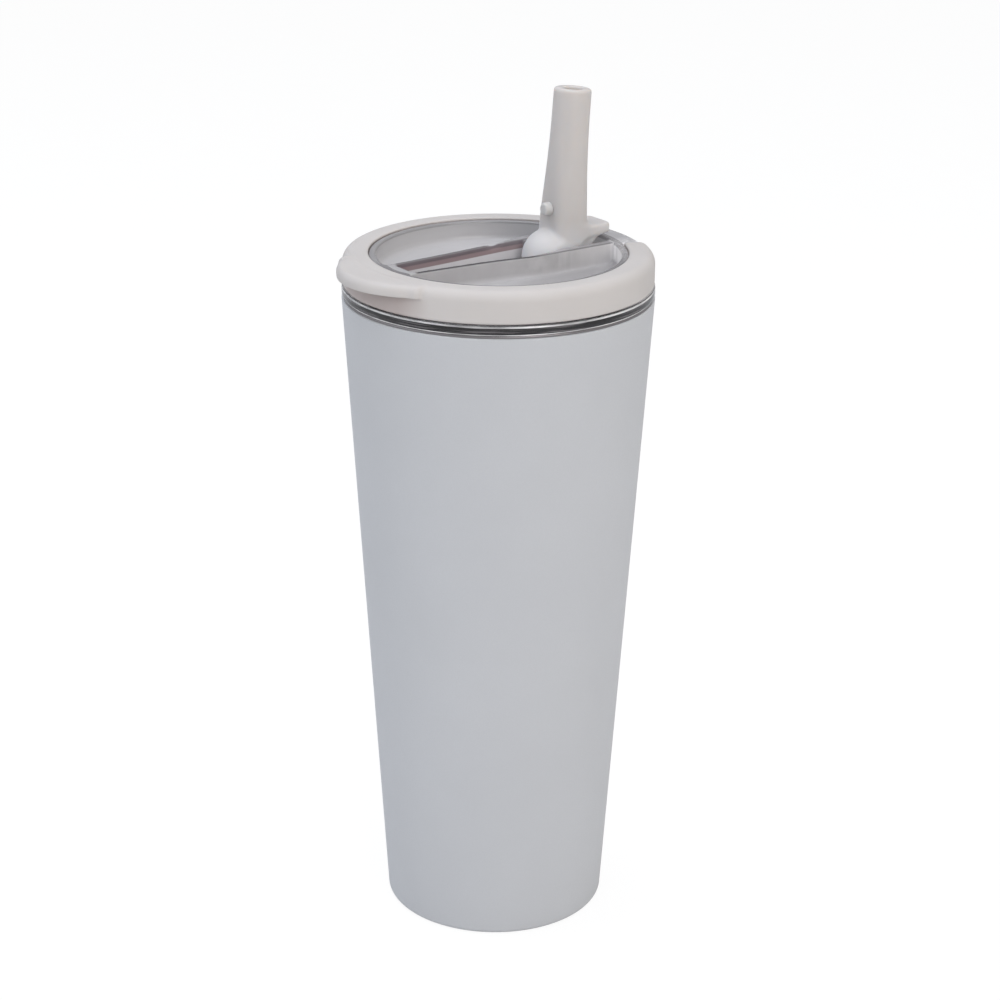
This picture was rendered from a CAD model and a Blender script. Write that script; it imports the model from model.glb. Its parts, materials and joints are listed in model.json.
# A double-walled steel cup with a clear lid, a straw and a folding spout.
# It stands on z = 0 with its axis on Z. The spout's hinge is on the +X side and the lid's lift
# tab on the -X side. Shapes are in millimetres, and become metres when a mesh is made.
import functools
import json
import math

import bmesh
import bpy
import numpy as np
from mathutils import Matrix, Vector


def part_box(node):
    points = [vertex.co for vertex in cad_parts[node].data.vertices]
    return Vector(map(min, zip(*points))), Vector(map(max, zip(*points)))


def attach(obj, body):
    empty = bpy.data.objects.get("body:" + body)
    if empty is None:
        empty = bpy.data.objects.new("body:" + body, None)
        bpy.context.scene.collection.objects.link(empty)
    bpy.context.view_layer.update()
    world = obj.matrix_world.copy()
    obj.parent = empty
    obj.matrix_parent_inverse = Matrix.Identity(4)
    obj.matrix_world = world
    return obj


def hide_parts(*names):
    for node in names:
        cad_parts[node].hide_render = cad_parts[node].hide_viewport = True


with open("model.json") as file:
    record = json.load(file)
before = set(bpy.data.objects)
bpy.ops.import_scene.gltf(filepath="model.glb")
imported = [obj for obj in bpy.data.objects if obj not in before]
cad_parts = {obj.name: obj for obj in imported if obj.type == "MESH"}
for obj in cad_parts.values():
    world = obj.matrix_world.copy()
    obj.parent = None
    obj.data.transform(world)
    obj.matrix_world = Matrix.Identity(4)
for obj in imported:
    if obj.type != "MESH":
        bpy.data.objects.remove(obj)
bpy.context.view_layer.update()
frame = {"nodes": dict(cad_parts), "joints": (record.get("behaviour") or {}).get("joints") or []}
NODES = frame["nodes"]
MM = 0.001


# ------------------------------------------------------------ places taken from the frame
def top_of(node):
    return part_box(node)[1][2] * 1000.0


CUP_H = top_of("inner_wall")
LID_TOP = top_of("lid_ring")
BEAD_TOP = top_of("lid_body")
HINGE = next(joint for joint in frame["joints"] if joint["name"] == "spout_fold")["pos_m"]
PIVOT_X, PIVOT_Z = HINGE[0] * 1000.0, HINGE[2] * 1000.0


# ------------------------------------------------------------ mesh helpers
def link_object(name, data):
    obj = bpy.data.objects.new(name, data)
    bpy.context.scene.collection.objects.link(obj)
    return obj


def new_object(name, verts, faces):
    """A smooth mesh from points in mm. An array of faces is taken as quads."""
    mesh = bpy.data.meshes.new(name)
    verts = np.asarray(verts, float)
    if isinstance(faces, np.ndarray):
        count = len(faces)
        mesh.vertices.add(len(verts))
        mesh.vertices.foreach_set("co", (verts * MM).astype(np.float32).ravel())
        mesh.loops.add(4 * count)
        mesh.loops.foreach_set("vertex_index", faces.astype(np.int32).ravel())
        mesh.polygons.add(count)
        mesh.polygons.foreach_set("loop_start", np.arange(0, 4 * count, 4, dtype=np.int32))
        mesh.update(calc_edges=True)
    else:
        mesh.from_pydata([tuple(v) for v in verts * MM], [], faces)
        mesh.update()
    mesh.validate()
    mesh.polygons.foreach_set("use_smooth", np.ones(len(mesh.polygons), bool))
    return link_object(name, mesh)


def fix_normals(obj):
    bm = bmesh.new()
    bm.from_mesh(obj.data)
    bmesh.ops.recalc_face_normals(bm, faces=bm.faces)
    if bm.calc_volume(signed=True) < 0:
        bmesh.ops.reverse_faces(bm, faces=bm.faces)
    bm.to_mesh(obj.data)
    bm.free()
    obj.data.update()


def rounded(points, seg, support=0.35, step=None):
    """Rounds the corners of a closed outline of (r, z) or (r, z, corner radius) points.

    seg is the edge count of a quarter turn. A short support run beside each arc keeps the
    flats flat. Edges longer than step are divided.
    """
    outline = []
    for i, point in enumerate(points):
        corner = np.array(point[:2], float)
        if len(point) == 2:
            outline.append(corner)
            continue
        back = np.array(points[i - 1][:2], float) - corner
        ahead = np.array(points[(i + 1) % len(points)][:2], float) - corner
        back_len, ahead_len = np.linalg.norm(back), np.linalg.norm(ahead)
        back, ahead = back / back_len, ahead / ahead_len
        angle = math.acos(max(-1.0, min(1.0, float(back @ ahead))))
        trim = min(point[2] / math.tan(angle / 2), back_len * 0.48, ahead_len * 0.48)
        radius = trim * math.tan(angle / 2)
        bisector = (back + ahead) / np.linalg.norm(back + ahead)
        centre = corner + bisector * (radius / math.sin(angle / 2))
        start, end = corner + back * trim - centre, corner + ahead * trim - centre
        sweep = math.pi - angle
        count = max(2, int(round(seg * sweep / (math.pi / 2))) + 1)
        outline.append(corner + back * (trim + min(support, (back_len - trim) * 0.3)))
        for k in range(count + 1):
            from_start = start * math.sin(sweep * (1 - k / count))
            from_end = end * math.sin(sweep * k / count)
            outline.append((from_start + from_end) / math.sin(sweep) + centre)
        outline.append(corner + ahead * (trim + min(support, (ahead_len - trim) * 0.3)))
    if step is None:
        return outline
    dense = []
    for i, start in enumerate(outline):
        end = outline[(i + 1) % len(outline)]
        count = max(1, int(np.linalg.norm(end - start) // step))
        dense += [start + (end - start) * k / count for k in range(count)]
    return dense


def lathe(name, profile, seg, centre_x=0.0):
    """Revolves a closed (r, z) profile about a vertical axis. A point on it becomes one vertex."""
    angles = np.linspace(0, 2 * math.pi, seg, endpoint=False)
    verts, rows = [], []
    for r, z in profile:
        if r < 1e-6:
            rows.append([len(verts)] * seg)
            verts.append((centre_x, 0.0, z))
        else:
            rows.append(list(range(len(verts), len(verts) + seg)))
            verts += [(centre_x + r * math.cos(a), r * math.sin(a), z) for a in angles]
    faces = []
    for i, low in enumerate(rows):
        high = rows[(i + 1) % len(rows)]
        low_is_point, high_is_point = low[0] == low[1], high[0] == high[1]
        if low_is_point and high_is_point:
            continue
        for k in range(seg):
            q = (k + 1) % seg
            if low_is_point:
                faces.append((low[0], high[q], high[k]))
            elif high_is_point:
                faces.append((low[k], low[q], high[0]))
            else:
                faces.append((low[k], low[q], high[q], high[k]))
    obj = new_object(name, verts, faces)
    fix_normals(obj)
    return obj


# ------------------------------------------------------------ solids as distance fields
SLAB = 24  # grid layers worked out at a time


def sample_field(field, lo, count, cell):
    """Field values on the grid, softened once along each axis."""
    xs, ys, zs = (lo[i] + cell * np.arange(count[i]) for i in range(3))
    values = np.empty(tuple(count), np.float32)
    for i in range(0, count[0], SLAB):
        values[i:i + SLAB] = field(*np.meshgrid(xs[i:i + SLAB], ys, zs, indexing="ij"))
    for axis in range(3):
        padded = np.pad(values, [(1, 1) if k == axis else (0, 0) for k in range(3)], mode="edge")
        before, after = (padded.take(np.arange(count[axis]) + shift, axis) for shift in (0, 2))
        values = 0.25 * before + 0.5 * values + 0.25 * after
    values[values == 0] = 1e-6
    return values


def surface_nets(name, field, lo, hi, cell):
    """A closed quad mesh of field(x, y, z) = 0, negative inside."""
    lo, hi = np.array(lo, float), np.array(hi, float)
    count = np.ceil((hi - lo) / cell).astype(int) + 1
    values = sample_field(field, lo, count, cell)
    inside = values < 0

    # cells that the surface passes through
    corners = list(np.ndindex(2, 2, 2))
    last_x, last_y, last_z = count - 1
    filled = sum(inside[i:last_x + i, j:last_y + j, k:last_z + k].astype(np.int8)
                 for i, j, k in corners)
    active = np.nonzero((filled > 0) & (filled < 8))
    ids = -np.ones(tuple(count - 1), np.int32)
    ids[active] = np.arange(len(active[0]))
    cells = np.stack(active, 1)

    # one vertex per cell, at the mean of its edge crossings
    total, crossings = np.zeros((len(cells), 3)), np.zeros(len(cells))
    for corner in corners:
        for axis in range(3):
            if corner[axis]:
                continue
            end = list(corner)
            end[axis] = 1
            first = values[tuple((cells + corner).T)]
            second = values[tuple((cells + end).T)]
            crossed = (first < 0) != (second < 0)
            place = np.tile(np.array(corner, float), (crossed.sum(), 1))
            place[:, axis] += first[crossed] / (first[crossed] - second[crossed])
            total[crossed] += place
            crossings[crossed] += 1
    verts = lo + (cells + total / crossings[:, None]) * cell

    # one quad round every grid edge that crosses the surface
    quads = []
    for axis in range(3):
        u, v = (axis + 1) % 3, (axis + 2) % 3
        edges = np.stack(np.nonzero(np.diff(inside, axis=axis)), 1)
        interior = (edges[:, u] > 0) & (edges[:, v] > 0)
        interior &= (edges[:, u] < count[u] - 1) & (edges[:, v] < count[v] - 1)
        edges = edges[interior]
        ring = []
        for du, dv in ((-1, -1), (0, -1), (0, 0), (-1, 0)):
            beside = edges.copy()
            beside[:, u] += du
            beside[:, v] += dv
            ring.append(ids[tuple(beside.T)])
        quad = np.stack(ring, 1)
        flip = ~inside[tuple(edges.T)]
        quad[flip] = quad[flip][:, ::-1]
        quads.append(quad)
    return new_object(name, verts, np.concatenate(quads))


def soft_min(a, b, blend):
    t = np.clip(0.5 + 0.5 * (b - a) / blend, 0, 1)
    return b * (1 - t) + a * t - blend * t * (1 - t)


def soft_max(a, b, blend):
    return -soft_min(-a, -b, blend)


def meet(*fields):
    """What all the fields have in common, with sharp edges."""
    return functools.reduce(np.maximum, fields)


def rect(u, v, u_span, v_span, radius):
    """Distance to a rectangle with rounded corners."""
    du = np.abs(u - (u_span[0] + u_span[1]) / 2) - (u_span[1] - u_span[0]) / 2 + radius
    dv = np.abs(v - (v_span[0] + v_span[1]) / 2) - (v_span[1] - v_span[0]) / 2 + radius
    outside = np.hypot(np.maximum(du, 0), np.maximum(dv, 0))
    return outside + np.minimum(np.maximum(du, dv), 0) - radius


def round_edge(u, v, radius, elsewhere):
    """Distance to an edge at u = v = 0, rounded by radius, and elsewhere away from the corner."""
    du, dv = u + radius, v + radius
    return np.where((du > 0) & (dv > 0), np.hypot(du, dv) - radius, elsewhere)


def polygon_field(points, cell=0.1, pad=3.0):
    """A table of signed distance to a closed (r, z) polygon, read back by bilinear lookup."""
    points = np.array(points, float)
    lo, hi = points.min(0) - pad, points.max(0) + pad
    count_r, count_z = np.ceil((hi - lo) / cell).astype(int) + 1
    R, Z = np.meshgrid(lo[0] + cell * np.arange(count_r), lo[1] + cell * np.arange(count_z),
                       indexing="ij")
    distance = np.full(R.shape, 1e9)
    inside = np.zeros(R.shape, bool)
    for start, end in zip(points, np.roll(points, -1, axis=0)):
        edge = end - start
        if edge @ edge < 1e-12:
            continue
        t = np.clip(((R - start[0]) * edge[0] + (Z - start[1]) * edge[1]) / (edge @ edge), 0, 1)
        away = np.hypot(R - start[0] - t * edge[0], Z - start[1] - t * edge[1])
        distance = np.minimum(distance, away)
        if abs(edge[1]) > 1e-12:
            spans = (start[1] > Z) != (end[1] > Z)
            inside ^= spans & (R < edge[0] * (Z - start[1]) / edge[1] + start[0])
    table = np.where(inside, -distance, distance)

    def look(r, z):
        u = np.clip((r - lo[0]) / cell, 0, count_r - 1.001)
        v = np.clip((z - lo[1]) / cell, 0, count_z - 1.001)
        i, j = u.astype(int), v.astype(int)
        fu, fv = u - i, v - j
        return (table[i, j] * (1 - fu) * (1 - fv) + table[i + 1, j] * fu * (1 - fv)
                + table[i, j + 1] * (1 - fu) * fv + table[i + 1, j + 1] * fu * fv)
    return look


def smooth_curve(knots):
    """Cubic spline through (x, y) knots, level at its last one. Returns 600 x, y and slopes."""
    x, y = np.array(knots, float).T
    last = len(x) - 1
    system, rhs = np.zeros((last + 1, last + 1)), np.zeros(last + 1)
    system[0, 0] = system[-1, -1] = 1
    rhs[0] = (y[1] - y[0]) / (x[1] - x[0])
    for i in range(1, last):
        h0, h1 = x[i] - x[i - 1], x[i + 1] - x[i]
        system[i, i - 1:i + 2] = h1, 2 * (h0 + h1), h0
        rhs[i] = 3 * (h1 * (y[i] - y[i - 1]) / h0 + h0 * (y[i + 1] - y[i]) / h1)
    slope = np.linalg.solve(system, rhs)
    xs = np.linspace(x[0], x[-1], 600)
    k = np.clip(np.searchsorted(x, xs) - 1, 0, last - 1)
    h = x[k + 1] - x[k]
    t = (xs - x[k]) / h
    ys = ((2 * t ** 3 - 3 * t ** 2 + 1) * y[k] + (t ** 3 - 2 * t ** 2 + t) * h * slope[k]
          + (-2 * t ** 3 + 3 * t ** 2) * y[k + 1] + (t ** 3 - t ** 2) * h * slope[k + 1])
    return xs, ys, np.gradient(ys, xs)


# ------------------------------------------------------------ shader helpers
class Graph:
    """A node tree being built. An input takes a number, a colour, or a socket to link."""

    def __init__(self, owner, output):
        owner.use_nodes = True
        self.owner, self.tree = owner, owner.node_tree
        self.tree.nodes.clear()
        self.output = self.tree.nodes.new("ShaderNode" + output)

    def node(self, kind, inputs=None, **settings):
        node = self.tree.nodes.new("ShaderNode" + kind)
        for key, value in settings.items():
            setattr(node, key, value)
        for key, value in (inputs or {}).items():
            socket = node.inputs[key]
            if isinstance(value, bpy.types.NodeSocket):
                self.tree.links.new(value, socket)
            elif socket.type == "RGBA" and len(value) == 3:
                socket.default_value = tuple(value) + (1.0,)
            else:
                socket.default_value = value
        return node

    def coords(self, scale=(1, 1, 1)):
        place = self.node("TexCoord").outputs["Object"]
        return self.node("Mapping", {"Vector": place, "Scale": scale}).outputs["Vector"]

    def split(self, vector):
        return self.node("SeparateXYZ", {0: vector}).outputs

    def noise(self, vector, scale, detail=3.0, rough=0.5):
        inputs = {"Vector": vector, "Scale": scale, "Detail": detail, "Roughness": rough}
        return self.node("TexNoise", inputs).outputs["Fac"]

    def ramp(self, value, to=(0.0, 1.0), over=(0.35, 0.65), kind="LINEAR"):
        """Maps the range `over` onto the range `to`."""
        inputs = {"Value": value, "From Min": over[0], "From Max": over[1],
                  "To Min": to[0], "To Max": to[1]}
        return self.node("MapRange", inputs, interpolation_type=kind).outputs["Result"]

    def math(self, operation, *values):
        return self.node("Math", dict(enumerate(values)), operation=operation).outputs[0]

    def product(self, *values):
        return functools.reduce(lambda a, b: self.math("MULTIPLY", a, b), values)

    def mix(self, factor, first, second, blend="MIX"):
        inputs = {0: factor, 6: first, 7: second}
        return self.node("Mix", inputs, data_type="RGBA", blend_type=blend).outputs[2]

    def flat(self, colour):
        """One constant colour as a socket."""
        return self.mix(0.0, colour, colour)

    def bump(self, height, distance, strength, **normal):
        inputs = {"Height": height, "Distance": distance, "Strength": strength}
        if normal:
            inputs["Normal"] = normal["over"]
        return self.node("Bump", inputs).outputs["Normal"]

    def principled(self, inputs):
        return self.node("BsdfPrincipled", inputs).outputs[0]

    def transparent(self, inputs=None):
        return self.node("BsdfTransparent", inputs).outputs[0]

    def mix_shader(self, factor, first, second):
        return self.node("MixShader", {0: factor, 1: first, 2: second}).outputs[0]

    def done(self, shader):
        self.tree.links.new(shader, self.output.inputs["Surface"])
        return self.owner


def material(name):
    return Graph(bpy.data.materials.new(name), "OutputMaterial")


def srgb(*channels):
    """Linear colour from 0-255 sRGB."""
    return tuple(c / 12.92 if c <= 0.04045 else ((c + 0.055) / 1.055) ** 2.4
                 for c in (channel / 255 for channel in channels))


# ------------------------------------------------------------ materials (coordinates in metres)
def powder_coat():
    mat = material("powder_coat")
    place = mat.coords()
    grain = mat.noise(place, scale=2600, detail=2.0, rough=0.6)
    peel = mat.noise(place, scale=620, detail=2.0)
    cloud = mat.noise(place, scale=22, rough=0.55)
    colour = mat.mix(mat.ramp(cloud, over=(0.3, 0.7)), srgb(192, 193, 196), srgb(196, 197, 200))
    speckle = mat.ramp(grain, to=(0, 0.35), over=(0.35, 0.75))
    colour = mat.mix(speckle, colour, srgb(186, 187, 190))
    normal = mat.bump(peel, distance=0.00006, strength=0.30)
    normal = mat.bump(grain, distance=0.00003, strength=0.45, over=normal)
    return mat.done(mat.principled({
        "Base Color": colour, "Roughness": mat.ramp(grain, to=(0.50, 0.62), over=(0.3, 0.7)),
        "IOR": 1.5, "Normal": normal, "Specular IOR Level": 0.42,
        "Sheen Weight": 0.12, "Sheen Roughness": 0.6}))


def soft_plastic(name, base, low, rough, subsurface, grain=0.00002, reach=1.0,
                 pale=None, crease=None, under=None):
    """Matt plastic with fine grain. pale, crease and under are optional changes of tone."""
    mat = material(name)
    place = mat.coords()
    fine = mat.noise(place, scale=3600, detail=2.0, rough=0.6)
    mid = mat.noise(place, scale=700)
    cloud = mat.noise(place, scale=70)
    colour = mat.mix(mat.ramp(cloud, over=(0.3, 0.7)), base, low)
    if pale:
        # thin walls near the foot of the piece glow with the light that comes through
        colour = mat.mix(mat.ramp(mat.split(place)[2], over=pale["z"]), pale["tone"], colour)
    if crease:
        # hollows are deeper in tone
        hollow = mat.node("AmbientOcclusion", {"Distance": 0.011}, samples=8).outputs["AO"]
        dark = mat.mix(1.0, colour, mat.flat(crease), blend="MULTIPLY")
        colour = mat.mix(mat.ramp(hollow, over=(0.25, 0.92)), dark, colour)
    if under:
        # so is the sheltered zone beneath the lift tab
        x, _, z = mat.split(place)
        zone = mat.product(mat.ramp(x, to=(1.0, 0.0), over=under["x"]),
                           mat.ramp(z, to=(1.0, 0.0), over=under["z"]))
        colour = mat.mix(zone, colour, mat.flat(under["tone"]), blend="MULTIPLY")
    normal = mat.bump(mid, distance=0.00003, strength=0.35)
    normal = mat.bump(fine, distance=grain, strength=0.5, over=normal)
    return mat.done(mat.principled({
        "Base Color": colour, "Roughness": mat.ramp(fine, to=rough, over=(0.3, 0.7)),
        "IOR": 1.46, "Normal": normal, "Specular IOR Level": 0.4,
        "Subsurface Weight": subsurface, "Subsurface Radius": (0.0018, 0.0014, 0.0011),
        "Subsurface Scale": reach}))


def turned_steel(name, tone, lip=None):
    """Steel with fine turning rings about Z."""
    mat = material(name)
    place = mat.node("TexCoord").outputs["Object"]
    x, y, z = mat.split(place)
    plan = mat.node("CombineXYZ", {0: x, 1: y}).outputs[0]
    r = mat.node("VectorMath", {0: plan}, operation="LENGTH").outputs["Value"]
    ring_place = mat.node("CombineXYZ", {0: r, 2: z}).outputs[0]
    rings = mat.noise(ring_place, scale=5200, rough=0.65)
    broad = mat.noise(ring_place, scale=420, detail=2.0)
    smudge = mat.noise(place, scale=60)
    dark, light = tuple(t * 0.86 for t in tone), tuple(min(1, t * 1.08) for t in tone)
    colour = mat.mix(mat.ramp(rings, over=(0.25, 0.75)), dark, light)
    if lip:
        # the outer edge of the rim lip sits in the shadow line under the lid
        edge = mat.product(mat.ramp(z, over=(lip["z"], lip["z"] + 0.0001)),
                           mat.ramp(r, over=(lip["r"], lip["r"] + 0.0001)))
        colour = mat.mix(edge, colour, lip["tone"])
    rough = mat.math("ADD", mat.ramp(rings, to=(0.20, 0.34), over=(0.3, 0.7)),
                     mat.ramp(smudge, to=(0.0, 0.08), over=(0.4, 0.7)))
    normal = mat.bump(broad, distance=0.00003, strength=0.25)
    normal = mat.bump(rings, distance=0.00002, strength=0.5, over=normal)
    return mat.done(mat.principled({"Base Color": colour, "Metallic": 1.0, "Roughness": rough,
                                    "Normal": normal, "Anisotropic": 0.5}))


def straw_plastic():
    mat = material("straw_plastic")
    place = mat.coords()
    flow = mat.noise(place, scale=130, detail=2.0)
    specks = mat.noise(place, scale=4200, detail=2.0, rough=0.7)
    glassy = mat.principled({
        "Base Color": (0.95, 0.95, 0.95), "IOR": 1.49, "Transmission Weight": 1.0,
        "Roughness": mat.ramp(specks, to=(0.22, 0.26), over=(0.55, 0.8)),
        "Normal": mat.bump(flow, distance=0.00012, strength=0.35)})
    # shadow and diffuse rays pass straight through
    rays = mat.node("LightPath").outputs
    passing = mat.math("MAXIMUM", rays["Is Shadow Ray"], rays["Is Diffuse Ray"])
    return mat.done(mat.mix_shader(passing, glassy, mat.transparent({"Color": (0.85,) * 3})))


def lid_plastic():
    """Clear moulding: glassy at the flange and skirt, milky in the tray, dark at thin edges."""
    mat = material("clear_plastic")
    mix, product, ramp, noise = mat.mix, mat.product, mat.ramp, mat.noise
    place = mat.node("TexCoord").outputs["Object"]
    facing_y = mat.split(mat.node("NewGeometry").outputs["True Normal"])[1]
    # from here on, places are in millimetres
    x, y, z = (product(axis, 1000.0) for axis in mat.split(place))
    r = mat.math("SQRT", mat.math("ADD", product(x, x), product(y, y)))
    abs_y = mat.math("ABSOLUTE", y)

    def step(value, off, on):
        """A soft mask: 0 at off, 1 at on, whichever is the larger."""
        to = (0.0, 1.0) if off < on else (1.0, 0.0)
        return ramp(value, to=to, over=sorted((off, on)), kind="SMOOTHSTEP")

    def layered(value, *layers):
        """A number changed, layer by layer, where each mask is set."""
        for mask, new_value in layers:
            inputs = {0: mask, 2: value, 3: new_value}
            value = mat.node("Mix", inputs, data_type="FLOAT").outputs[0]
        return value

    cloud = noise(place, scale=95, detail=2.0)
    mottle = noise(place, scale=210, detail=2.0)
    fine = noise(place, scale=3600, detail=2.0, rough=0.6)
    # marks drawn out along Z run down the walls
    streak = noise(mat.coords((1, 1, 0.06)), scale=520, detail=2.0, rough=0.55)
    fine_streak = noise(mat.coords((1, 1, 0.03)), scale=1500, detail=2.0, rough=0.6)

    # tray: rim wall and floor, the floor darker at -Y by the hub
    tray = product(step(z, 206.6, 207.2), step(r, 39.6, 39.2))
    milk = mix(ramp(cloud, over=(0.3, 0.7)), (0.57, 0.555, 0.56), (0.61, 0.595, 0.60))
    rim_wall = product(step(r, 35.6, 36.4), step(z, 209.2, 210.2))
    milk = mix(rim_wall, milk, (0.70, 0.685, 0.69))
    by_hub = product(step(y, -10.0, -14.0), step(x, -10.0, 3.0))
    floor_tone = mix(by_hub, (0.74, 0.725, 0.735), (0.56, 0.545, 0.55))
    milk = mix(step(z, 210.6, 208.8), milk, floor_tone)

    # channel's +Y wall, inner face: pale low down, smoky above
    far = product(step(facing_y, -0.4, -0.7), step(y, 3.0, 4.0), step(abs_y, 9.75, 9.6),
                  step(x, 16.0, 14.0))
    milk = mix(far, milk, (0.78, 0.76, 0.77))
    smoky = mix(step(z, 213.3, 213.8), (0.36, 0.27, 0.275), (0.20, 0.165, 0.18))
    milk = mix(product(far, step(z, 212.05, 212.3)), milk, smoky)

    # faces to -Y on the -Y side: pale streaks that are strongest by the hub, and blotches
    near = product(step(facing_y, -0.4, -0.7), step(y, -3.0, -4.0))
    toward_hub = mat.math("ADD", product(step(x, 4.0, 26.0), 0.95), 0.04)
    lift = product(ramp(streak, over=(0.42, 0.62)), toward_hub, near,
                   ramp(fine_streak, to=(0.45, 1.0), over=(0.4, 0.6)))
    milk = mix(product(near, step(x, 14.0, 30.0)), milk, (0.80, 0.785, 0.79))
    milk = mix(product(lift, 0.8), milk, (0.86, 0.845, 0.85))
    blotch = product(near, step(x, -6.0, 8.0), ramp(mottle, to=(0.0, 0.6), over=(0.45, 0.65)))
    milk = mix(blotch, milk, (0.74, 0.725, 0.73))
    corner = product(rim_wall, step(x, 22.0, 31.0), step(y, -6.0, -12.0))
    corner_streak = product(corner, ramp(fine_streak, to=(0.55, 1.0), over=(0.4, 0.6)))
    milk = mix(corner_streak, milk, (0.97, 0.955, 0.96))

    # tops of the channel walls: dark, paler where they broaden by the hub and at the -X end
    wall_top = product(step(z, BEAD_TOP - 0.42, BEAD_TOP - 0.2), step(r, 36.9, 36.6))
    edge = mix(step(x, 4.0, 10.0), (0.09, 0.085, 0.09), (0.24, 0.225, 0.23))
    edge = mix(step(y, 1.0, -1.0), (0.22, 0.205, 0.21), edge)
    broad_near = product(step(x, 8.0, 12.0), step(abs_y, 10.4, 10.2), step(y, 1.0, -1.0))
    broad_far = product(step(x, -6.0, 6.0), step(y, 7.7, 8.5), step(y, -1.0, 1.0))
    edge = mix(mat.math("MAXIMUM", broad_near, broad_far), edge, (0.46, 0.445, 0.45))
    edge = mix(step(x, -33.0, -34.5), edge, (0.55, 0.535, 0.54))
    milk = mix(wall_top, milk, edge)
    bead = product(step(r, 36.7, 37.0), step(z, BEAD_TOP - 1.0, BEAD_TOP - 0.5))
    bead_tone = mix(step(y, 0.0, 14.0), (0.34, 0.325, 0.335), (0.50, 0.485, 0.49))
    milk = mix(bead, milk, bead_tone)

    # flange: bright where its two edges turn, dark between
    flange = product(step(r, 44.6, 45.3), step(z, 202.4, 202.5))
    high_line = product(step(z, 204.8, 204.95), step(z, 205.45, 205.3))
    low_line = product(step(z, 202.5, 202.6), step(z, 203.0, 202.85))
    along = noise(mat.coords((1, 1, 0.2)), scale=60, rough=0.6)
    along = ramp(along, to=(0.35, 1.0), over=(0.35, 0.62))
    lines = product(mat.math("MAXIMUM", high_line, low_line), along, flange)
    core = product(step(z, 202.85, 203.0), step(z, 205.0, 204.85), flange)
    threads = noise(mat.coords((0.03, 0.03, 1)), scale=1900, detail=2.0, rough=0.6)
    core_tone = mix(ramp(threads, over=(0.50, 0.62)), (0.012, 0.011, 0.012), (0.16, 0.148, 0.155))
    web = product(step(z, 205.9, 206.6), step(r, 39.2, 39.6))

    colour = mix(tray, (0.97, 0.96, 0.968), milk)
    colour = mix(core, colour, core_tone)
    colour = mix(lines, colour, (0.95, 0.94, 0.94))
    colour = mix(web, colour, (0.68, 0.665, 0.675))
    transmission = layered(0.98, (tray, 0.35), (wall_top, 0.25), (bead, 0.45), (core, 0.3),
                           (lines, 0.1), (web, 0.45))
    rough = layered(0.03, (tray, 0.22), (wall_top, 0.12), (bead, 0.08), (lines, 0.25), (web, 0.12))
    glint = product(low_line, flange, product(along, 0.45))
    sheen = product(corner, ramp(fine_streak, to=(0.4, 1.0), over=(0.4, 0.6)), 0.14)
    normal = mat.bump(fine, distance=0.000008, strength=0.4)
    normal = mat.bump(streak, distance=0.00005, strength=0.5, over=normal)
    moulding = mat.principled({
        "Base Color": colour, "Roughness": rough, "Normal": normal, "IOR": 1.5,
        "Transmission Weight": transmission, "Emission Color": (1.0, 0.985, 0.99),
        "Emission Strength": mat.math("ADD", glint, sheen)})
    shadow = mat.transparent({"Color": mix(tray, (0.96, 0.95, 0.955), (0.72, 0.71, 0.715))})
    is_shadow = mat.node("LightPath").outputs["Is Shadow Ray"]
    return mat.done(mat.mix_shader(is_shadow, moulding, shadow))


def seal_bead():
    mat = material("seal_bead")
    mottle = mat.noise(mat.coords(), scale=900, rough=0.6)
    return mat.done(mat.principled({
        "Base Color": mat.mix(mat.ramp(mottle), (0.05, 0.055, 0.05), (0.11, 0.115, 0.11)),
        "Roughness": mat.ramp(mottle, to=(0.12, 0.3)),
        "Normal": mat.bump(mottle, distance=0.0001, strength=0.4)}))


def getter_metal():
    mat = material("getter_metal")
    grain = mat.noise(mat.coords(), scale=5200, rough=0.7)
    return mat.done(mat.principled({
        "Base Color": mat.mix(mat.ramp(grain), (0.10, 0.10, 0.105), (0.2, 0.2, 0.205)),
        "Metallic": 0.6, "Roughness": mat.ramp(grain, to=(0.55, 0.8)),
        "Normal": mat.bump(grain, distance=0.0001, strength=0.6)}))


POWDER = powder_coat()
BAND = soft_plastic(
    "soft_band", base=srgb(203, 198, 195), low=srgb(200, 195, 192), rough=(0.5, 0.62),
    subsurface=0.08, crease=(0.43, 0.375, 0.365),
    under=dict(x=(-0.0452, -0.0410), z=((LID_TOP - 3.75) * MM, (LID_TOP - 3.45) * MM),
               tone=(0.86, 0.795, 0.785)))
SPOUT = soft_plastic(
    "spout_plastic", base=srgb(204, 199, 196), low=srgb(201, 196, 193), rough=(0.40, 0.5),
    subsurface=0.45, grain=0.000012, reach=2.2,
    pale=dict(z=((PIVOT_Z + 4.5) * MM, (PIVOT_Z + 12.0) * MM), tone=(0.655, 0.645, 0.65)))
SILICONE = soft_plastic("silicone", base=srgb(206, 204, 202), low=srgb(200, 198, 196),
                        rough=(0.42, 0.52), subsurface=0.25)
STEEL = turned_steel("steel_liner", tone=(0.62, 0.61, 0.60),
                     lip=dict(z=0.2016, r=0.0466, tone=(0.26, 0.247, 0.252)))
STEEL_SPUN = turned_steel("steel_spun", tone=(0.58, 0.575, 0.57))
CLEAR = lid_plastic()
STRAW = straw_plastic()
BEAD = seal_bead()
GETTER = getter_metal()


def dress(obj, mat):
    obj.data.materials.clear()
    obj.data.materials.append(mat)


def piece(obj, body, mat, slot, node):
    """Gives a piece its material, its moving body, its slot and the CAD node it replaces."""
    dress(obj, mat)
    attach(obj, body)
    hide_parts(node)


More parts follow.
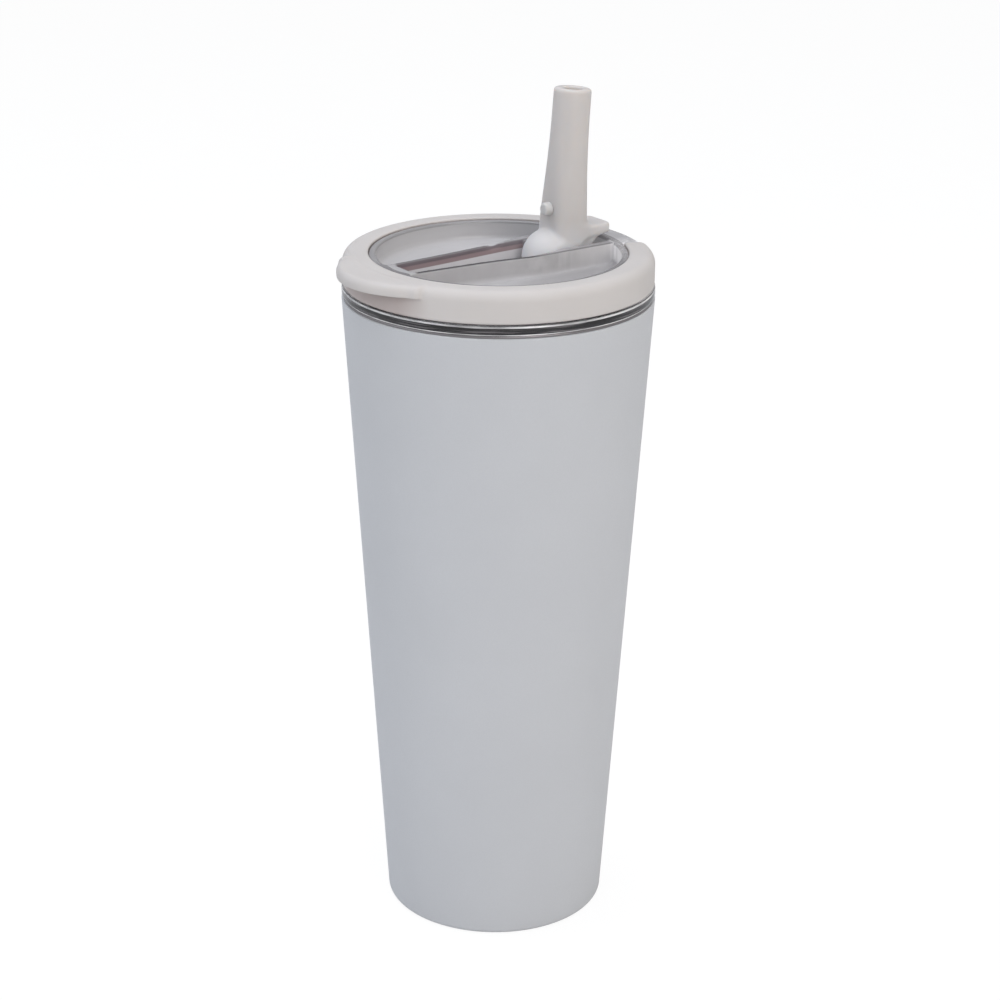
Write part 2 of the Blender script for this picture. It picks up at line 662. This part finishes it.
# ------------------------------------------------------------ cup
# profiles are rows of r, z and, where the corner is rounded, its radius
LIP_Z = CUP_H - 0.8
WALL_LOW_R, WALL_HIGH_R = 35.0, 47.5  # cone of the outer wall at z = 0 and z = CUP_H
LIP_R = WALL_LOW_R + (WALL_HIGH_R - WALL_LOW_R) * LIP_Z / CUP_H
WALL_THICK = 0.8

OUTER_WALL = [
    (31.2, 0.0, 0.25), (34.7, 0.0, 3.4), (LIP_R, LIP_Z, 0.45), (LIP_R - WALL_THICK, LIP_Z),
    (33.95, WALL_THICK, 2.6), (31.2, WALL_THICK, 0.25)]
LINER = [
    (0, 7.2), (30.8, 7.2, 6.0), (44.2, 184.0, 3.0), (44.2, CUP_H, 0.35), (46.95, CUP_H, 0.35),
    (46.95, LIP_Z, 0.1), (44.9, LIP_Z), (44.9, 184.0, 3.0), (31.5, 6.5, 6.7), (0, 6.5)]
OUTER_BOTTOM = [
    (0, 3.6), (5.2, 3.6, 0.5), (6.4, 2.9, 0.5), (30.4, 2.9, 0.4), (30.4, 0.5), (31.15, 0.5, 0.1),
    (31.15, 3.65, 0.9), (6.6, 3.65, 0.5), (5.4, 4.35, 0.5), (0, 4.35)]
BASE_COVER = [
    (0, 2.45), (0, 1.9), (20.0, 1.9, 0.5), (21.0, 1.3, 0.5), (29.2, 1.3, 0.5), (30.2, 1.9, 0.3),
    (30.2, 2.85, 0.1), (29.65, 2.85, 0.1), (29.65, 2.1, 0.2), (29.0, 1.85, 0.4),
    (21.2, 1.85, 0.5), (20.2, 2.45, 0.5)]

for node, outline, seg, mat, slot in (
        ("outer_wall", rounded(OUTER_WALL, seg=8, step=5.0), 288, POWDER, "powder_coat"),
        ("inner_wall", rounded(LINER, seg=8, step=5.0), 256, STEEL, "steel"),
        ("outer_bottom", rounded(OUTER_BOTTOM, seg=5), 192, STEEL_SPUN, "steel"),
        ("base_cover", rounded(BASE_COVER, seg=5), 192, STEEL_SPUN, "steel")):
    piece(lathe(node + "_skin", outline, seg), "cup", mat, slot, node)

for node, mat in (("vacuum_seal", BEAD), ("getter", GETTER), ("getter_strap", STEEL_SPUN)):
    dress(NODES[node], mat)

# ------------------------------------------------------------ lid: clear moulding
PLUG_ALONG = 14.6  # vent plug's place along the stem, from the pivot
VENT_X, VENT_TOP = PIVOT_X - PLUG_ALONG - 0.45, 208.1
CHANNEL_END, CHANNEL_Z = -34.0, 207.2
POCKET_R, POCKET_Z, POCKET_FILLET = 37.0, 208.4, 2.2
FILLET_R = POCKET_R - POCKET_FILLET
HUB_HALF, HUB_OUT = 7.7, 10.9  # half widths inside and outside the hub's walls
CHANNEL_WALL = 1.5
RIM_TOP = 214.1
BOSS_R, BOSS_BORE_R = 9.8, 7.25
SOCKET_R, SOCKET_HALF = 2.05, 9.2
WELL_R = 9.3
PAD_ANGLE = math.radians(19.5)
SKIRT_R = 42.4

# channel half width against x. The +Y wall runs straighter than the -Y one.
NEAR = [(CHANNEL_END, 4.85), (-27.0, 5.3), (-21.0, 5.75), (-15.8, 6.15), (-10.0, 6.7),
        (-5.0, 7.4), (-0.6, 8.15), (3.0, 8.95), (6.5, 9.35), (10.0, 9.1), (13.8, 8.3),
        (18.0, 7.75)]
FAR = [(CHANNEL_END, 4.85), (-27.0, 5.15), (-21.0, 5.45), (-15.8, 5.75), (-10.0, 6.15),
       (-5.0, 6.55), (-0.6, 6.88), (3.0, 7.15), (6.5, 7.4), (10.0, 7.5), (13.8, 7.62),
       (18.0, 7.7)]
NEAR_OUT = ([(x, y + CHANNEL_WALL) for x, y in NEAR if x < 10.0]
            + [(10.0, HUB_OUT), (14.0, HUB_OUT), (18.0, HUB_OUT)])
FAR_OUT = ([(x, y + CHANNEL_WALL) for x, y in FAR if x < 6.0]
           + [(6.5, 9.1), (10.0, 9.9), (14.0, 10.7), (18.0, HUB_OUT)])
INNER_CURVES = smooth_curve(NEAR), smooth_curve(FAR)
OUTER_CURVES = smooth_curve(NEAR_OUT), smooth_curve(FAR_OUT)

LID_PROFILE = [
    (-5, 205.8), (39.0, 205.8), (39.0, 212.2, 0.6), (42.9, 212.2, 0.6), (42.9, 205.7),
    (40.6, 205.7), (40.6, 190.0, 0.3), (41.8, 190.0, 0.2), (SKIRT_R, 191.0, 0.3),
    (SKIRT_R, 193.6, 0.15), (41.5, 193.6), (41.5, 198.4), (SKIRT_R, 198.4, 0.15),
    (SKIRT_R, 202.55), (47.4, 202.55, 0.55), (47.4, 205.7, 0.55), (45.0, 205.7),
    (45.0, RIM_TOP, 1.7), (39.1, RIM_TOP), (39.1, BEAD_TOP, 0.45), (POCKET_R, BEAD_TOP, 0.45),
    (POCKET_R, POCKET_Z), (-5, POCKET_Z)]
lid_profile = polygon_field(rounded(LID_PROFILE, seg=5, support=0.0))


def channel_plan(x, y, curves, hub_half):
    """Distance outside the channel in plan; its width is hub_half beyond the curves."""
    near, far = curves
    half, slope = (np.where(y > 0, np.interp(x, far[0], far[column], right=beyond),
                            np.interp(x, near[0], near[column], right=beyond))
                   for column, beyond in ((1, hub_half), (2, 0.0)))
    return (np.abs(y) - half) / np.sqrt(1 + slope * slope)


def lid_field(x, y, z):
    r = np.hypot(x, y)
    body = lid_profile(r, z)
    # pocket wall, and the broad fillet where it meets the floor
    collar = meet(POCKET_R - r, r - 38.5, 207.0 - z, z - 214.0)
    body = soft_min(body, collar, blend=0.01)
    hollow = np.hypot(np.maximum(r - FILLET_R, 0), np.maximum(POCKET_Z + POCKET_FILLET - z, 0))
    cove = meet(POCKET_FILLET - hollow, r - 38.0, z - POCKET_Z - POCKET_FILLET, 206.5 - z,
                FILLET_R - r)
    body = np.minimum(body, cove)
    # the rim stands flush in the gap between the band's ends
    pad = rect(r, z, u_span=(38.4, 45.0), v_span=(RIM_TOP - 3.0, BEAD_TOP), radius=1.0)
    off_pad = np.abs(y) * math.cos(PAD_ANGLE) - x * math.sin(PAD_ANGLE)
    pad = soft_max(pad, np.where(x > 0, off_pad, 30.0), blend=0.5)
    body = soft_min(body, pad, blend=0.3)
    # channel walls, then the channel cut between them
    walls = meet(channel_plan(x, y, OUTER_CURVES, HUB_OUT), -36.6 - x, z - BEAD_TOP, 207.0 - z,
                 r - 37.6)
    body = soft_min(body, walls, blend=0.8)
    channel = soft_max(channel_plan(x, y, INNER_CURVES, HUB_HALF), CHANNEL_END - x, blend=1.5)
    channel = soft_max(meet(channel, CHANNEL_Z - z), r - 36.9, blend=1.2)
    body = soft_max(body, -channel, blend=0.5)
    # bored boss under the hub, and the round well for the spout's ball
    hub_r = np.hypot(x - PIVOT_X, y)
    boss = rect(hub_r, z, u_span=(-20, BOSS_R), v_span=(194.6, 207.0), radius=0.4)
    body = soft_min(body, boss, blend=0.7)
    body = soft_max(body, -meet(hub_r - BOSS_BORE_R, z - 203.6), blend=0.15)
    from_pivot = np.sqrt((x - PIVOT_X) ** 2 + y ** 2 + (z - PIVOT_Z) ** 2)
    well = soft_max(from_pivot - WELL_R, np.abs(y) - HUB_HALF, blend=0.3)
    body = soft_max(body, -well, blend=0.3)
    # blind trunnion sockets
    pin_r = np.hypot(x - PIVOT_X, z - PIVOT_Z)
    body = soft_max(body, -meet(pin_r - SOCKET_R, np.abs(y) - SOCKET_HALF), blend=0.15)
    # vent boss and its countersunk hole
    vent_r = np.hypot(x - VENT_X, y)
    vent = rect(vent_r, z, u_span=(-9, 3.6), v_span=(206.5, VENT_TOP), radius=0.3)
    body = soft_min(body, vent, blend=0.6)
    hole_r = np.maximum(1.3, 2.75 - (VENT_TOP - z) * 0.869)
    return soft_max(body, -meet(vent_r - hole_r, 200 - z), blend=0.1)


lid = surface_nets("lid_body_clear", lid_field, lo=(-48.6, -48.6, 189.0),
                   hi=(48.6, 48.6, BEAD_TOP + 1.1), cell=0.36)
piece(lid, "lid", CLEAR, "clear_plastic", "lid_body")

# ------------------------------------------------------------ lid: soft band with the lift tab
BAND_R, BAND_BOTTOM, BAND_EDGE = 47.15, 205.75, 3.2
TAB_THICK, TAB_EDGE = 3.6, 2.2
GAP_ANGLE = math.radians(20.0)  # half angle of the gap at the hinge

# one half of the tab's outline: degrees from -X, radius
TAB_HALF = [(0, 53.25), (6.0, 52.9), (12.0, 51.8), (16.0, 50.8), (20.0, 49.6), (23.0, 48.7),
            (26.2, 47.9), (27.2, 46.6), (28.6, 45.0), (34.0, 44.6)]
TAB_ANGLES, TAB_RADII, TAB_SLOPES = smooth_curve([(-a, r) for a, r in TAB_HALF[:0:-1]] + TAB_HALF)


def band_field(x, y, z):
    r = np.hypot(x, y)
    over_top = z - LID_TOP
    band = round_edge(r - BAND_R, over_top, BAND_EDGE, np.maximum(r - BAND_R, over_top))
    band = soft_max(band, BAND_BOTTOM - z, blend=0.6)
    band = soft_max(band, 39.2 - r, blend=0.7)
    inner = rect(r, z, u_span=(20.0, 45.05), v_span=(190.0, 214.13), radius=1.6)
    band = soft_max(band, -inner, blend=0.1)
    # lift tab
    angle = np.degrees(np.arctan2(np.abs(y), -x))
    reach = np.interp(angle, TAB_ANGLES, TAB_RADII, right=40.0)
    # radius per degree, to radius per mm of arc at a mean radius of 50
    slope = np.interp(angle, TAB_ANGLES, TAB_SLOPES, right=0.0) * 57.3 / 50.0
    plan = (r - reach) / np.sqrt(1 + slope * slope)
    tab = soft_max(plan, LID_TOP - TAB_THICK - z, blend=0.15)
    tab = meet(tab, over_top, round_edge(plan, over_top, TAB_EDGE, -30.0), 44.0 - r, -inner)
    band = soft_min(band, tab, blend=0.45)
    # gap at the hinge, its ends rounded in plan
    gap = np.abs(y) * math.cos(GAP_ANGLE) - x * math.sin(GAP_ANGLE)
    return soft_max(band, np.where(x > 0, -gap, -30.0), blend=1.8)


band = surface_nets("lid_ring_soft", band_field, lo=(-56.0, -49.0, 204.6),
                    hi=(46.5, 49.0, LID_TOP + 1.0), cell=0.34)
piece(band, "lid", BAND, "soft_band", "lid_ring")

# ------------------------------------------------------------ lid: gasket, seat, socket, straw
GASKET = [
    (41.53, 193.65, 0.2), (42.7, 193.65, 0.3), (42.9, 194.5, 0.2), (44.1, 195.0, 0.12),
    (44.1, 195.5, 0.12), (42.9, 195.4, 0.2), (42.9, 196.6, 0.2), (44.1, 197.1, 0.12),
    (44.1, 197.6, 0.12), (42.9, 197.5, 0.2), (42.7, 198.35, 0.3), (41.53, 198.35, 0.2)]
piece(lathe("lid_gasket_fins", rounded(GASKET, seg=4, support=0.1), 256),
      "lid", SILICONE, "silicone", "lid_gasket")

# the seat's dish is part of a ball about the pivot
SEAT_BORE_R, DISH_BALL_R = 2.8, 8.85
dish = [(r, PIVOT_Z - math.sqrt(DISH_BALL_R ** 2 - r * r))
        for r in np.linspace(SEAT_BORE_R, 5.52, 8)]
seat = ([(SEAT_BORE_R, 198.5)] + dish
        + [(7.05, 203.55), (7.2, 203.4), (7.2, 198.65), (7.05, 198.5)])
piece(lathe("spout_seal_dish", seat, 96, centre_x=PIVOT_X),
      "lid", SILICONE, "silicone", "spout_seal")

SOCKET = [
    (4.05, 184.1, 0.2), (5.6, 184.1, 0.4), (5.6, 193.0, 0.3), (8.9, 193.0, 0.4),
    (8.9, 194.55, 0.3), (7.2, 194.55), (7.2, 198.45, 0.3), (SEAT_BORE_R, 198.45, 0.1),
    (SEAT_BORE_R, 195.15), (4.05, 195.15)]
piece(lathe("straw_socket_body", rounded(SOCKET, seg=4, support=0.15), 96, centre_x=PIVOT_X),
      "lid", SPOUT, "spout_plastic", "straw_socket")

STRAW_FOOT, STRAW_LENGTH = 17.0, 178.1
STRAW_OUT_R, STRAW_IN_R, STRAW_CHAMFER = 4.0, 3.2, 0.12
STRAW_CUT_RISE, STRAW_CUT_SLOPE = 3.2, 0.6  # the slanting cut across the lower end


def straw_tube():
    seg = 72
    top = STRAW_FOOT + STRAW_LENGTH
    heights = np.concatenate([[0.0, 0.25], np.arange(1, 44) * 4.04,
                              [STRAW_LENGTH - 0.25, STRAW_LENGTH]])
    rows = len(heights)
    verts, faces = [], []
    for radius, chamfer in ((STRAW_OUT_R, -STRAW_CHAMFER), (STRAW_IN_R, STRAW_CHAMFER)):
        for i, height in enumerate(heights):
            r = radius + chamfer if i in (0, rows - 1) else radius
            for k in range(seg):
                angle = 2 * math.pi * k / seg
                x = r * math.cos(angle)
                cut = STRAW_FOOT + STRAW_CUT_RISE - STRAW_CUT_SLOPE * x
                z = cut + (top - cut) * height / STRAW_LENGTH
                verts.append((PIVOT_X + x, r * math.sin(angle), z))
    inner, last = rows * seg, (rows - 1) * seg
    for low in range(0, last, seg):
        high = low + seg
        for k in range(seg):
            q = (k + 1) % seg
            faces.append((low + k, low + q, high + q, high + k))
            faces.append((inner + low + q, inner + low + k, inner + high + k, inner + high + q))
    for k in range(seg):
        q = (k + 1) % seg
        faces.append((q, k, inner + k, inner + q))
        faces.append((last + k, last + q, inner + last + q, inner + last + k))
    obj = new_object("straw_tube", verts, faces)
    fix_normals(obj)
    return obj


piece(straw_tube(), "lid", STRAW, "straw_plastic", "straw")

# ------------------------------------------------------------ spout
LEAN = math.radians(4.25)  # the stem leans to +X
LEAN_SIN, LEAN_COS = math.sin(LEAN), math.cos(LEAN)
STEM_X = PIVOT_X + 3.8
STEM_START, STEM_END = 2.0, 51.2
FLAT_RISE, FLAT_RUN = 1.05, 40.0
BALL_R, CHEEK_HALF = 8.8, 7.5
LEVER_END, LEVER_HALF_W, LEVER_HALF_T = 38.7, 6.0, 1.65
LEVER_BOTTOM = LID_TOP + 1.0
PIN_R, PIN_HALF = 2.0, 9.1
BORE_R, LOW_BORE_R = 2.9, 2.45
LOW_BORE_DX, LOW_BORE_LENGTH = 4.6, 15.5  # the low bore's run in x, and in z

# stem radius against distance along it
STEM_ALONG, STEM_RADII, _ = smooth_curve([
    (STEM_START, 7.4), (8.0, 7.4), (14.9, 7.07), (26.9, 6.24), (38.9, 5.8), (STEM_END, 5.7)])


def flat_depth(along):
    """Distance of the stem's -X flat from its axis."""
    return 5.2 + FLAT_RISE * (along - STEM_START) / FLAT_RUN


def spout_field(x, y, z):
    dx, dz = x - STEM_X, z - PIVOT_Z
    across = dx * LEAN_COS - dz * LEAN_SIN
    along = dx * LEAN_SIN + dz * LEAN_COS
    stem_r = np.hypot(across, y)
    # the factor allows for the taper
    side = (stem_r - np.interp(along, STEM_ALONG, STEM_RADII)) * 0.9995
    stem = soft_max(side, -(across + flat_depth(along)), blend=1.3)
    stem = soft_max(stem, along - STEM_END, blend=1.1)
    stem = soft_max(stem, STEM_START - along, blend=1.0)
    ball = np.sqrt((x - PIVOT_X) ** 2 + y ** 2 + dz ** 2) - BALL_R
    ball = soft_max(ball, np.abs(y) - CHEEK_HALF, blend=0.8)
    body = soft_min(stem, ball, blend=1.0)
    # keep what lies between the hub walls off them
    body = soft_max(body, np.abs(y) - CHEEK_HALF, blend=0.8)
    lever = rect(x, y, u_span=(STEM_X, LEVER_END), v_span=(-LEVER_HALF_W, LEVER_HALF_W),
                 radius=2.6)
    lever_mid = LEVER_BOTTOM + LEVER_HALF_T
    lever = soft_max(lever, np.abs(z - lever_mid) - LEVER_HALF_T, blend=1.0)
    body = soft_min(body, lever, blend=2.2)
    # gusset under the lever, running down to the ball
    slant = (x - 34.5) * 0.731 - (z - LID_TOP - 1.0) * 0.682
    gusset = soft_max(np.abs(y) - 5.4, STEM_X - x, blend=0.6)
    gusset = soft_max(gusset, np.maximum(z - LID_TOP - 2.0, slant), blend=1.2)
    body = soft_min(body, gusset, blend=1.2)
    pin = soft_max(np.hypot(x - PIVOT_X, dz) - PIN_R, np.abs(y) - PIN_HALF, blend=0.4)
    body = soft_min(body, pin, blend=0.25)
    # a bore up the stem, joined by a slanting one through the ball
    bore = np.maximum(stem_r - BORE_R, 4.0 - along)
    low_x, low_z = x - (PIVOT_X - 0.3), z - (PIVOT_Z - 10.0)
    length = math.hypot(LOW_BORE_DX, LOW_BORE_LENGTH)
    t = low_x * (LOW_BORE_DX / length) + low_z * (LOW_BORE_LENGTH / length)
    low_r = np.sqrt(np.maximum(low_x ** 2 + y ** 2 + low_z ** 2 - t * t, 0))
    low_bore = meet(low_r - LOW_BORE_R, -t, t - LOW_BORE_LENGTH)
    bore = soft_min(bore, low_bore, blend=0.5)
    return soft_max(body, -bore, blend=0.9)


spout = surface_nets("spout_moulding", spout_field, lo=(PIVOT_X - 10.0, -10.2, PIVOT_Z - 10.0),
                     hi=(39.9, 10.2, PIVOT_Z + 53.2), cell=0.26)
piece(spout, "spout", SPOUT, "spout_plastic", "spout")


def vent_plug():
    """Domed head, waist and shank, turned about an axis square to the stem's flat."""
    profile = [(0, 2.4), (1.8, 2.4, 0.75), (2.12, 0.02, 0.2), (1.2, 0.02), (1.2, -1.95, 0.2),
               (0, -1.95)]
    across, along = Vector((LEAN_COS, 0, -LEAN_SIN)), Vector((LEAN_SIN, 0, LEAN_COS))
    seat_at = Vector((STEM_X, 0, PIVOT_Z)) + across * (-flat_depth(PLUG_ALONG))
    seat_at = seat_at + along * PLUG_ALONG
    tilt = math.atan(FLAT_RISE / FLAT_RUN)
    axis = -(across * math.cos(tilt) + along * math.sin(tilt))
    plug = lathe("vent_plug_head", rounded(profile, seg=8, support=0.1), 64)
    turn = axis.to_track_quat("Z", "Y").to_matrix().to_4x4()
    plug.data.transform(Matrix.Translation(seat_at * MM) @ turn)
    return plug


piece(vent_plug(), "spout", SILICONE, "silicone", "vent_plug")


# ------------------------------------------------------------ floor
def floor_pale():
    """Pale floor, almost as bright to the camera as the backdrop, with a faint shadow."""
    mat = material("floor_pale")
    place = mat.coords()
    cloud = mat.noise(place, scale=40)
    surface = mat.principled({
        "Base Color": mat.mix(mat.ramp(cloud), (0.78, 0.78, 0.78), (0.80, 0.80, 0.80)),
        "Roughness": 0.75, "Specular IOR Level": 0.1})
    glow = mat.node("Emission", {"Color": (1, 1, 1), "Strength": 1.06}).outputs[0]
    seen = mat.product(mat.node("LightPath").outputs["Is Camera Ray"], 0.86)
    shader = mat.mix_shader(seen, surface, glow)
    # the patch hidden under the foot glows, to light the cup's underside
    lamp = mat.node("Emission", {"Strength": 0.45}).outputs[0]
    from_axis = mat.node("VectorMath", {0: place}, operation="LENGTH").outputs["Value"]
    patch = mat.ramp(from_axis, to=(1.0, 0.0), over=(0.0300, 0.0308))
    shader = mat.mix_shader(patch, shader, lamp)
    # seen from below the floor gives way
    below = mat.node("NewGeometry").outputs["Backfacing"]
    return mat.done(mat.mix_shader(below, shader, mat.transparent()))


bpy.ops.mesh.primitive_plane_add(size=12.0, location=(0, 0, -0.0001))
floor = bpy.context.object
floor.name = "floor"
floor.data.materials.append(floor_pale())

# ------------------------------------------------------------ camera (metres)
AZIMUTH = math.radians(35.5)  # the camera stands on the -X, -Y side
PITCH, YAW, ROLL = math.radians(20.7792), math.radians(0.0769), math.radians(0.4309)


def turned(v):
    """From the camera's own ground frame (X right, Y away) to the object's frame."""
    return Vector((math.cos(AZIMUTH) * v[0] + math.sin(AZIMUTH) * v[1],
                   -math.sin(AZIMUTH) * v[0] + math.cos(AZIMUTH) * v[1], v[2]))


def add_camera():
    data = bpy.data.cameras.new("camera")
    data.lens, data.sensor_width, data.sensor_fit = 89.072, 36.0, "HORIZONTAL"
    data.clip_start, data.clip_end = 0.02, 30
    camera = link_object("camera", data)
    ahead = turned((math.sin(YAW) * math.cos(PITCH), math.cos(YAW) * math.cos(PITCH),
                    -math.sin(PITCH)))
    level = turned((math.cos(YAW), -math.sin(YAW), 0))
    above = level.cross(ahead)
    right = level * math.cos(ROLL) + above * math.sin(ROLL)
    up = level * (-math.sin(ROLL)) + above * math.cos(ROLL)
    pose = Matrix((right, up, -ahead)).transposed().to_4x4()
    pose.translation = turned((0.0, -0.722997, 0.409192))
    camera.matrix_world = pose
    bpy.context.scene.camera = camera


add_camera()


# ------------------------------------------------------------ lights and world
def area(name, at, size, power, colour):
    """A square light, placed in the camera's ground frame and aimed at the cup."""
    data = bpy.data.lights.new(name, "AREA")
    data.shape = "RECTANGLE"
    data.size = data.size_y = size
    data.energy, data.color = power, colour
    light = link_object(name, data)
    light.location = turned(at)
    light.rotation_mode = "QUATERNION"
    aim = Vector((0, 0, 0.13)) - turned(at)
    light.rotation_quaternion = aim.to_track_quat("-Z", "Y")


area("key_right", at=(0.64, -1.22, 0.82), size=1.0, power=8.3, colour=(1.0, 0.985, 0.965))
area("fill_left", at=(-1.25, -0.35, 0.28), size=1.0, power=2.5, colour=(0.92, 0.97, 1.0))
area("top", at=(-0.25, 0.15, 1.5), size=1.4, power=12.2, colour=(0.94, 0.98, 1.05))


def studio(world):
    """White to the camera. Other rays see it cool at the left, warm at the right."""
    sky = Graph(world, "OutputWorld")
    look = sky.node("TexCoord").outputs["Generated"]

    def toward(direction, to, over):
        """How far a ray looks in a direction of the camera's ground frame, mapped onto `to`."""
        inputs = {0: look, 1: turned(direction).normalized()}
        dot = sky.node("VectorMath", inputs, operation="DOT_PRODUCT").outputs["Value"]
        return sky.ramp(dot, to=to, over=over)

    side = toward((1, 0, 0), to=(0.0, 1.0), over=(-0.8, 0.8))
    tone = sky.mix(side, (0.915, 0.965, 1.06), (1.02, 1.0, 0.97))
    strength = toward((0.35, -0.9, 0.1), to=(0.38, 0.58), over=(-1.0, 1.0))
    room = sky.node("Background", {0: tone, 1: strength}).outputs[0]
    white = sky.node("Background", {0: (1, 1, 1), 1: 1.0}).outputs[0]
    seen = sky.node("LightPath").outputs["Is Camera Ray"]
    return sky.done(sky.mix_shader(seen, room, white))


scene = bpy.context.scene
scene.world = studio(bpy.data.worlds.new("studio"))
scene.view_settings.view_transform = "Standard"
scene.view_settings.look = "None"
scene.view_settings.exposure = 0.0
scene.view_settings.gamma = 1.0
